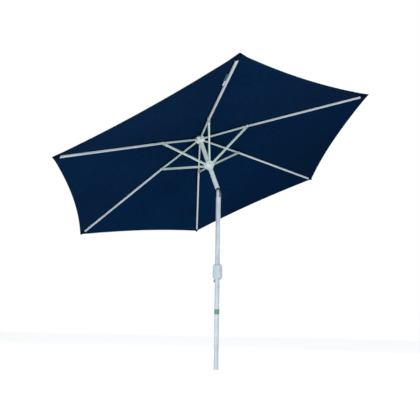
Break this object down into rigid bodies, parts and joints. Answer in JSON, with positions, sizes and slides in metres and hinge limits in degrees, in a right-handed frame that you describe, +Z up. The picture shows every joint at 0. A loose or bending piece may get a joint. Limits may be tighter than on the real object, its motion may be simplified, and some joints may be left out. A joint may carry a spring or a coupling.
{
  "type": "patio umbrella",
  "caption": "Tilted garden umbrella on a round pole, with a crank lift, a push-button tilt joint, hinged ribs and struts, and a vented dark blue canopy.",
  "frame": {"origin": "middle of the pole's foot, on the plane of its lower end", "axes": "+Z up the lower pole; the canopy is tilted towards -X; the crank is on the +Y side"},
  "size_m": [2.5772, 2.3748, 2.0656],
  "materials": {
    "lower_tube": "satin",
    "mid_tube": "satin",
    "upper_tube": "satin",
    "band_green": "satin",
    "housing": "satin",
    "crank_grey": "matte",
    "zinc": "satin",
    "bushing": "matte",
    "knuckle_light": "satin",
    "knuckle_dark": "matte",
    "button_grey": "matte",
    "plug_grey": "matte",
    "hub_white": "satin",
    "cord": "matte",
    "inner_rib": "satin",
    "outer_rib": "satin",
    "canopy": "matte",
    "finial": "satin",
    "strap": "matte"
  },
  "bodies": {
    "pole": {"lower_pole": "lower_tube", "foot_plug": "plug_grey", "green_band": "band_green", "pole_coupler": "zinc", "snap_spring": "zinc", "mid_pole": "mid_tube", "housing_front_half": "housing", "housing_back_half": "housing", "housing_screws": "zinc", "spool_bushings": "bushing", "brake_spring": "zinc", "lower_knuckle": "knuckle_light", "knuckle_rivets": "zinc", "tilt_pin": "zinc", "tilt_spring": "zinc", "lift_cord_lower": "cord"},
    "snap": {"snap_button": "zinc"},
    "button": {"tilt_button": "button_grey"},
    "crank": {"crank_spool": "zinc", "crank_handle": "crank_grey", "knob_rivet": "zinc"},
    "knob": {"crank_knob": "crank_grey"},
    "head": {"upper_knuckle": "knuckle_dark", "upper_pole": "upper_tube", "hub": "hub_white", "hub_pins": "zinc", "pulley_pin": "zinc", "lift_cord_upper": "cord", "crown_patch": "canopy", "finial": "finial"},
    "pulley": {"pulley": "bushing"},
    "runner": {"runner": "hub_white", "runner_pins": "zinc", "lift_cord_tail": "cord"},
    "rib_1": {"rib_inner_1": "inner_rib", "rib_outer_1": "outer_rib", "gore_1": "canopy"},
    "strut_1": {"strut_1": "inner_rib"},
    "rib_2": {"rib_inner_2": "inner_rib", "rib_outer_2": "outer_rib", "gore_2": "canopy"},
    "strut_2": {"strut_2": "inner_rib"},
    "rib_3": {"rib_inner_3": "inner_rib", "rib_outer_3": "outer_rib", "gore_3": "canopy"},
    "strut_3": {"strut_3": "inner_rib"},
    "rib_4": {"rib_inner_4": "inner_rib", "rib_outer_4": "outer_rib", "gore_4": "canopy"},
    "strut_4": {"strut_4": "inner_rib"},
    "rib_5": {"rib_inner_5": "inner_rib", "rib_outer_5": "outer_rib", "gore_5": "canopy"},
    "strut_5": {"strut_5": "inner_rib"},
    "rib_6": {"rib_inner_6": "inner_rib", "rib_outer_6": "outer_rib", "gore_6": "canopy", "tie_strap": "strap"},
    "strut_6": {"strut_6": "inner_rib"}
  },
  "joints": [
    {"name": "tilt", "type": "hinge", "parent": "pole", "child": "head", "pos_m": [0, 0, 1.406], "axis": [0, -1, 0], "range_deg": [-20, 15]},
    {"name": "runner_slide", "type": "slide", "parent": "head", "child": "runner", "axis": [0.342, 0, -0.9397], "range_m": [0, 0.19], "deforming": ["lift_cord_tail"]},
    {"name": "rib_1_hinge", "type": "hinge", "parent": "head", "child": "rib_1", "pos_m": [-0.15023, 0, 1.9015], "axis": [0, 1, 0], "range_deg": [0, 17.2], "deforming": ["gore_1"]},
    {"name": "strut_1_hinge", "type": "hinge", "parent": "rib_1", "child": "strut_1", "pos_m": [0.25101, 0, 1.95432], "axis": [0, 1, 0], "range_deg": [-29.09, 0]},
    {"name": "rib_2_hinge", "type": "hinge", "parent": "head", "child": "rib_2", "pos_m": [-0.16353, 0.02451, 1.89666], "axis": [-0.8138, 0.5, -0.2962], "range_deg": [0, 17.2], "deforming": ["gore_2"]},
    {"name": "strut_2_hinge", "type": "hinge", "parent": "rib_2", "child": "strut_2", "pos_m": [0.05207, 0.36668, 1.88192], "axis": [-0.8138, 0.5, -0.2962], "range_deg": [-29.09, 0]},
    {"name": "rib_3_hinge", "type": "hinge", "parent": "head", "child": "rib_3", "pos_m": [-0.19012, 0.02451, 1.88698], "axis": [-0.8138, -0.5, -0.2962], "range_deg": [0, 17.2], "deforming": ["gore_3"]},
    {"name": "strut_3_hinge", "type": "hinge", "parent": "rib_3", "child": "strut_3", "pos_m": [-0.3458, 0.36668, 1.7371], "axis": [-0.8138, -0.5, -0.2962], "range_deg": [-29.09, 0]},
    {"name": "rib_4_hinge", "type": "hinge", "parent": "head", "child": "rib_4", "pos_m": [-0.20342, 0, 1.88214], "axis": [0, -1, 0], "range_deg": [0, 17.2], "deforming": ["gore_4"]},
    {"name": "strut_4_hinge", "type": "hinge", "parent": "rib_4", "child": "strut_4", "pos_m": [-0.54474, 0, 1.6647], "axis": [0, -1, 0], "range_deg": [-29.09, 0]},
    {"name": "rib_5_hinge", "type": "hinge", "parent": "head", "child": "rib_5", "pos_m": [-0.19012, -0.02451, 1.88698], "axis": [0.8138, -0.5, 0.2962], "range_deg": [0, 17.2], "deforming": ["gore_5"]},
    {"name": "strut_5_hinge", "type": "hinge", "parent": "rib_5", "child": "strut_5", "pos_m": [-0.3458, -0.36668, 1.7371], "axis": [0.8138, -0.5, 0.2962], "range_deg": [-29.09, 0]},
    {"name": "rib_6_hinge", "type": "hinge", "parent": "head", "child": "rib_6", "pos_m": [-0.16353, -0.02451, 1.89666], "axis": [0.8138, 0.5, 0.2962], "range_deg": [0, 17.2], "deforming": ["gore_6"]},
    {"name": "strut_6_hinge", "type": "hinge", "parent": "rib_6", "child": "strut_6", "pos_m": [0.05207, -0.36668, 1.88192], "axis": [0.8138, 0.5, 0.2962], "range_deg": [-29.09, 0]},
    {"name": "crank_turn", "type": "hinge", "parent": "pole", "child": "crank", "pos_m": [0, 0, 0.7395], "axis": [0, 1, 0], "range_deg": [0, 1111.8]},
    {"name": "pulley_turn", "type": "hinge", "parent": "head", "child": "pulley", "pos_m": [-0.16417, 0.014, 1.85705], "axis": [0.9397, 0, 0.342], "range_deg": [-1111.8, 0]},
    {"name": "knob_spin", "type": "hinge", "parent": "crank", "child": "knob", "pos_m": [-0.0405, 0.063, 0.66935], "axis": [0, 1, 0], "continuous": true},
    {"name": "snap_press", "type": "slide", "parent": "pole", "child": "snap", "axis": [-1, 0, 0], "range_m": [0, 0.004], "stiffness_N_per_m": 1500, "springref_m": -0.003, "deforming": ["snap_spring"]},
    {"name": "tilt_button_press", "type": "slide", "parent": "pole", "child": "button", "axis": [-1, 0, 0], "range_m": [0, 0.004], "stiffness_N_per_m": 1200, "springref_m": -0.004, "deforming": ["tilt_spring"]}
  ],
  "couplings": [
    {"joint": "rib_1_hinge", "follows": "runner_slide", "rad_per_m": 1.5758},
    {"joint": "strut_1_hinge", "follows": "runner_slide", "rad_per_m": -2.6673},
    {"joint": "rib_2_hinge", "follows": "runner_slide", "rad_per_m": 1.5758},
    {"joint": "strut_2_hinge", "follows": "runner_slide", "rad_per_m": -2.6673},
    {"joint": "rib_3_hinge", "follows": "runner_slide", "rad_per_m": 1.5758},
    {"joint": "strut_3_hinge", "follows": "runner_slide", "rad_per_m": -2.6673},
    {"joint": "rib_4_hinge", "follows": "runner_slide", "rad_per_m": 1.5758},
    {"joint": "strut_4_hinge", "follows": "runner_slide", "rad_per_m": -2.6673},
    {"joint": "rib_5_hinge", "follows": "runner_slide", "rad_per_m": 1.5758},
    {"joint": "strut_5_hinge", "follows": "runner_slide", "rad_per_m": -2.6673},
    {"joint": "rib_6_hinge", "follows": "runner_slide", "rad_per_m": 1.5758},
    {"joint": "strut_6_hinge", "follows": "runner_slide", "rad_per_m": -2.6673},
    {"joint": "crank_turn", "follows": "runner_slide", "rad_per_m": 102.04},
    {"joint": "pulley_turn", "follows": "runner_slide", "rad_per_m": -102.04}
  ]
}
